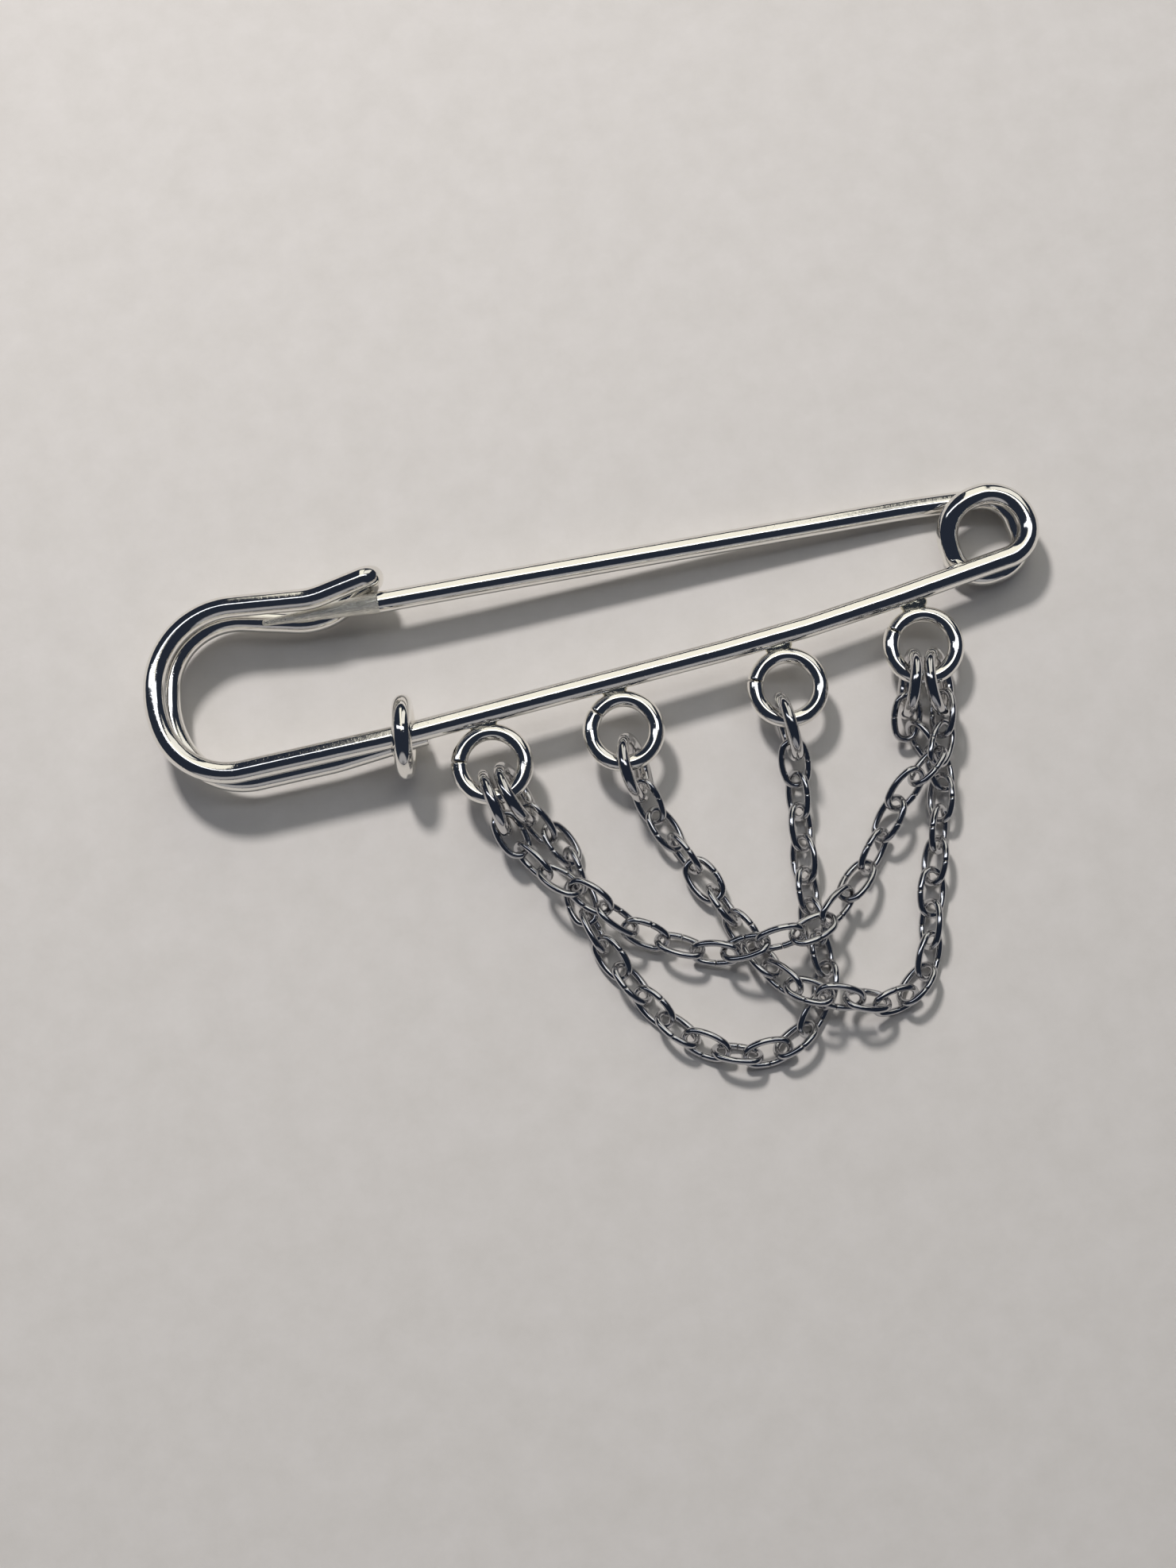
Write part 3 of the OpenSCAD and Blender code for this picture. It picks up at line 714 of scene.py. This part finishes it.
def place_swag(name, link):
    """A swag's links where the frame has them, each copy turned one of its four ways."""
    bpy.ops.object.select_all(action="DESELECT")
    copies = []
    for solid in loose_solids(name):
        centre, long, wide, _ = axes_of(solid)
        long *= rng.choice((-1, 1))
        wide *= rng.choice((-1, 1))
        copy = link.copy()
        copy.data = link.data.copy()
        bpy.context.scene.collection.objects.link(copy)
        copy.matrix_world = Matrix.LocRotScale(
            centre * MM, frame_of(long, wide, long.cross(wide)).to_quaternion(), None)
        copies.append(copy)
    bpy.ops.object.select_all(action="DESELECT")
    for copy in copies:
        copy.select_set(True)
    bpy.context.view_layer.objects.active = copies[0]
    bpy.ops.object.transform_apply(location=True, rotation=True, scale=True)
    bpy.ops.object.join()
    piece = bpy.context.object
    piece.name = name + "_links"
    dress(piece, chain_plate, "brooch", name)


def loop_place(i):
    """Centre of a loop and of its solder, as the frame has them."""
    bar = bar_at(LOOP_AT[i] - PIN_LEN / 2)
    down = Vector((0, -math.cos(math.radians(LOOP_DIP)), -math.sin(math.radians(LOOP_DIP))))
    touch = bar + down * (WIRE_R + LOOP_SEAT + LOOP_GAPS[i])
    solder = bar + down * (SOLDER_SEAT + LOOP_GAPS[i] / 2)
    return touch + Vector((0, (LOOP_WIRE - LOOP_D) / 2, 0)), solder


def make_solder(i):
    """Solder in the crook of the bar and a loop: a long bead that froze in small lumps."""
    _, place = loop_place(i)
    piece = start_piece(
        "solder_%d" % (i + 1), bpy.ops.mesh.primitive_ico_sphere_add, subdivisions=5,
        radius=SOLDER_R * MM, location=place * MM)
    bpy.ops.transform.resize(value=SOLDER_SPREAD[i], center_override=place * MM)
    bpy.ops.transform.rotate(
        value=math.radians(-BAR_SLOPE), orient_axis="Z", center_override=place * MM)
    end_piece(piece, sharp=180)
    lumps = bpy.data.textures.new("solder_lumps_%d" % (i + 1), "CLOUDS")
    lumps.noise_scale = SOLDER_LUMP_WIDTH * MM
    lumps.noise_depth = 2
    bpy.ops.object.modifier_add(type="DISPLACE")
    modifier = piece.modifiers[-1]
    modifier.texture = lumps
    modifier.texture_coords = "GLOBAL"
    modifier.strength = SOLDER_LUMP_HEIGHT * MM
    bpy.ops.object.modifier_apply(modifier=modifier.name)
    dress(piece, solder_finish, "brooch", "pin_frame")


# The pieces.
bar_and_hook = pin_stretch("bar_and_hook", 0, COIL_FROM)
dress(bar_and_hook, silver_plate, "brooch", "pin_frame")

coil_turn = pin_stretch("coil_turn", COIL_FROM, TONGUE_FROM)
coil_turn.data.materials.append(silver_plate)
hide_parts("pin_tongue")
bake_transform(coil_turn)

tongue = pin_stretch("tongue", TONGUE_FROM, len(pin_bends))
dress(tongue, silver_plate, "tongue", "pin_tongue")
dress(make_point(), point_finish, "tongue", "pin_tongue")

for i in range(len(LOOP_AT)):
    ring = make_ring(
        "loop_%d" % (i + 1), loop_place(i)[0], Matrix.Identity(3), LOOP_D, LOOP_WIRE,
        LOOP_SEAMS[i], LOOP_SAW, LOOP_RIM)
    dress(ring, silver_plate, "brooch", "pin_frame")
    make_solder(i)

keeper_axis = heading(BAR_SLOPE + KEEPER_TURN)
down = Vector((0, 0, -1))
keeper = make_ring(
    "keeper", Vector((KEEPER_X, KEEPER_Y, KEEPER_Z)),
    frame_of(down, keeper_axis.cross(down), keeper_axis),
    2 * KEEPER_R + KEEPER_WIRE, KEEPER_WIRE, KEEPER_SEAM, KEEPER_SAW, KEEPER_RIM)
dress(keeper, silver_plate, "brooch", "keeper_ring")

for i in range(JUMP_COUNT):
    place_jump_ring("jump_ring_%d" % (i + 1))

link = make_link()
for name in ("upper_swag", "lower_swag", "right_swag"):
    place_swag(name, link)
bpy.data.objects.remove(link)


# The sheet of paper, the camera, the lamp and the room.
def make_floor():
    piece = start_piece(
        "paper", bpy.ops.mesh.primitive_plane_add, size=PAPER_SIZE * MM, location=(0, 0, 0))
    end_piece(piece)
    piece.data.materials.append(copier_paper())


def make_camera():
    tilt = math.atan((NADIR_ROW - PHOTO_H / 2) / FOCAL_PX)
    stand = COIL + CAMERA_FROM_COIL
    bpy.ops.object.camera_add(
        location=Vector((stand.x, stand.y, CAMERA_HEIGHT)) * MM,
        rotation=(tilt, 0, math.radians(-PIN_TURN)))
    camera = bpy.context.object
    camera.data.sensor_fit = "VERTICAL"
    camera.data.sensor_height = SENSOR_HEIGHT
    camera.data.lens = FOCAL_PX / PHOTO_H * SENSOR_HEIGHT
    camera.data.clip_start = NEAR_CLIP * MM
    bpy.context.scene.camera = camera


def toward(right, up, z):
    """A direction by the photograph's right and up and the height over the paper."""
    return unit(
        right * heading(-PIN_TURN) + up * heading(90 - PIN_TURN) + Vector((0, 0, z)))


def make_lamp():
    direction = toward(*LAMP_WAY)
    bpy.ops.object.light_add(
        type="AREA", location=direction * LAMP_AWAY * MM, rotation=facing(direction))
    lamp = bpy.context.object
    lamp.name = "key_lamp"
    lamp.data.shape = "DISK"
    lamp.data.size = LAMP_SIZE * MM
    lamp.data.energy = LAMP_WATTS
    lamp.data.color = srgb(LAMP_COLOUR)[:3]
    # The room's own bright parts make the streaks in the metal, and this lamp only the shadows.
    lamp.visible_glossy = False


def between(tree, value, low, high, soft):
    """One inside a band of values and zero outside, with soft edges."""
    rise = add_node(tree, "ShaderNodeMapRange", {
        "Value": value, "From Min": low - soft, "From Max": low + soft},
        interpolation_type="SMOOTHSTEP")
    fall = add_node(tree, "ShaderNodeMapRange", {
        "Value": value, "From Min": high - soft, "From Max": high + soft, "To Min": 1.0,
        "To Max": 0.0}, interpolation_type="SMOOTHSTEP")
    return add_node(tree, "ShaderNodeMath", {
        0: rise.outputs["Result"], 1: fall.outputs["Result"]}, operation="MULTIPLY").outputs[0]


def room_part(tree, way, axes, bands, colour, strength):
    """A part of the room that gives off light: the directions within all its bands."""
    mask = None
    for axis, low, high, soft in bands:
        reach = add_node(
            tree, "ShaderNodeVectorMath", {0: way, 1: axes[axis]}, operation="DOT_PRODUCT")
        band = between(tree, reach.outputs["Value"], low, high, soft)
        mask = band if mask is None else add_node(
            tree, "ShaderNodeMath", {0: mask, 1: band}, operation="MULTIPLY").outputs[0]
    power = add_node(tree, "ShaderNodeMath", {0: mask, 1: strength}, operation="MULTIPLY")
    return add_node(tree, "ShaderNodeBackground", {
        "Color": srgb(colour), "Strength": power.outputs[0]}).outputs[0]


def make_room():
    """The room: dark and bluish, with its bright parts."""
    world = bpy.data.worlds.new("room")
    bpy.context.scene.world = world
    world.use_nodes = True
    tree = world.node_tree
    tree.nodes.clear()
    way = add_node(tree, "ShaderNodeTexCoord").outputs["Generated"]
    # Along and across the pin, and the photograph's right and up.
    axes = {
        "across": heading(0), "ahead": heading(90), "right": toward(1, 0, 0),
        "up": toward(0, 1, 0), "height": Vector((0, 0, 1)),
    }
    parts = []
    for colour, strength, bands in ROOM_PARTS:
        parts.append(room_part(tree, way, axes, bands, colour, strength))
    total = parts[0]
    for part in parts[1:]:
        total = add_node(tree, "ShaderNodeAddShader", {0: total, 1: part}).outputs[0]
    add_node(tree, "ShaderNodeOutputWorld", {"Surface": total})


make_floor()
make_camera()
make_lamp()
make_room()
bpy.context.scene.view_settings.view_transform = "Standard"
